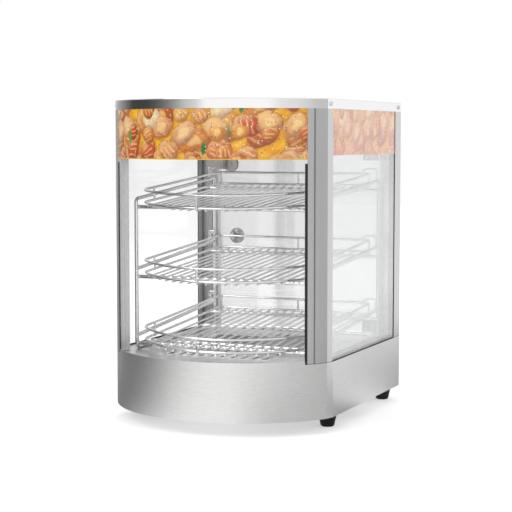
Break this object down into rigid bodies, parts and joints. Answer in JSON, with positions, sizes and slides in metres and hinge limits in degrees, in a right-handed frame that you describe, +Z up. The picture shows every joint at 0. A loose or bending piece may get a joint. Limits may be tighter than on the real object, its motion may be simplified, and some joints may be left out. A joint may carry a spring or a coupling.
{
  "type": "heated display case",
  "caption": "Countertop heated display case with a bowed glass front, tilted wire basket shelves, a hinged rear glass door and a heated steel base with rear controls.",
  "frame": {"origin": "on the floor under the middle of the whole case, door knob included", "axes": "+Z up, +Y to the back where the door is, +X to the right seen from the bowed front"},
  "size_m": [0.374, 0.4579, 0.5055],
  "materials": {
    "brushed_steel": "brushed, horizontal grain",
    "satin_steel": "satin",
    "polished_steel": "polished",
    "plain_steel": "plain mill finish",
    "chrome_wire": "bright plated wire",
    "screw_steel": "polished",
    "clear_glass": "clear, polished",
    "film_print": "printed film, warm yellow ground",
    "gasket_rubber": "matt black",
    "foot_rubber": "matt black",
    "black_plastic": "fine grained",
    "rocker_red": "glossy, tinted",
    "rocker_amber": "glossy, tinted",
    "pilot_red": "clear tinted dome",
    "catch_grey": "moulded",
    "heater_steel": "heat darkened",
    "ceramic_white": "unglazed",
    "lamp_glass": "frosted",
    "pin_brass": "plain"
  },
  "bodies": {
    "case": {"base_wrap": "brushed_steel", "base_bottom_plate": "plain_steel", "deck_plate": "satin_steel", "control_panel": "brushed_steel", "foot_front_left": "foot_rubber", "foot_front_right": "foot_rubber", "foot_rear_left": "foot_rubber", "foot_rear_right": "foot_rubber", "foot_screws": "screw_steel", "heat_shield": "plain_steel", "heater_element": "heater_steel", "heater_rests": "plain_steel", "thermostat_body": "black_plastic", "power_switch_body": "black_plastic", "lamp_switch_body": "black_plastic", "pilot_lamp": "pilot_red", "power_inlet": "black_plastic", "inlet_pins": "pin_brass", "terminal_block": "ceramic_white", "panel_screws": "screw_steel", "front_left_post": "satin_steel", "front_right_post": "satin_steel", "rear_left_post": "satin_steel", "rear_right_post": "satin_steel", "glass_beads": "satin_steel", "front_glass": "clear_glass", "left_glass": "clear_glass", "right_glass": "clear_glass", "glass_gaskets": "gasket_rubber", "front_film": "film_print", "side_films": "film_print", "top_cap": "polished_steel", "cap_screws": "screw_steel", "ceiling_pan": "satin_steel", "lamp_holders": "ceramic_white", "lamp_tube": "lamp_glass", "rear_header": "satin_steel", "hinge_brackets": "polished_steel", "hinge_pins": "screw_steel", "bracket_screws": "screw_steel", "catch_magnet": "catch_grey", "rack_left_frame": "chrome_wire", "rack_right_frame": "chrome_wire", "rack_cross_bars": "chrome_wire"},
    "door": {"door_glass": "clear_glass", "door_knob": "polished_steel", "door_knob_bolt": "screw_steel", "door_hinge_clamps": "polished_steel", "clamp_screws": "screw_steel", "catch_striker": "polished_steel"},
    "thermostat_dial": {"thermostat_knob": "black_plastic"},
    "power_rocker": {"power_switch_rocker": "rocker_red"},
    "lamp_rocker": {"lamp_switch_rocker": "rocker_amber"},
    "shelf_upper": {"shelf_upper_grid": "chrome_wire", "shelf_upper_guard": "chrome_wire"},
    "shelf_middle": {"shelf_middle_grid": "chrome_wire", "shelf_middle_guard": "chrome_wire"},
    "shelf_lower": {"shelf_lower_grid": "chrome_wire", "shelf_lower_guard": "chrome_wire"},
    "tray": {"water_tray": "satin_steel"}
  },
  "joints": [
    {"name": "door_hinge", "type": "hinge", "parent": "case", "child": "door", "pos_m": [0.145, 0.2045, 0.271], "axis": [0, 0, -1], "range_deg": [0, 110]},
    {"name": "thermostat_turn", "type": "hinge", "parent": "case", "child": "thermostat_dial", "pos_m": [0.11, 0.2175, 0.064], "axis": [0, 1, 0], "range_deg": [0, 300]},
    {"name": "power_switch_tip", "type": "hinge", "parent": "case", "child": "power_rocker", "pos_m": [0.04, 0.2084, 0.064], "axis": [1, 0, 0], "range_deg": [0, 20]},
    {"name": "lamp_switch_tip", "type": "hinge", "parent": "case", "child": "lamp_rocker", "pos_m": [0, 0.2084, 0.064], "axis": [1, 0, 0], "range_deg": [0, 20]},
    {"name": "shelf_upper_lift", "type": "slide", "parent": "case", "child": "shelf_upper", "axis": [0, 0, 1], "range_m": [0, 0.012]},
    {"name": "shelf_middle_lift", "type": "slide", "parent": "case", "child": "shelf_middle", "axis": [0, 0, 1], "range_m": [0, 0.012]},
    {"name": "shelf_lower_lift", "type": "slide", "parent": "case", "child": "shelf_lower", "axis": [0, 0, 1], "range_m": [0, 0.012]},
    {"name": "tray_lift", "type": "slide", "parent": "case", "child": "tray", "axis": [0, 0, 1], "range_m": [0, 0.008]}
  ]
}
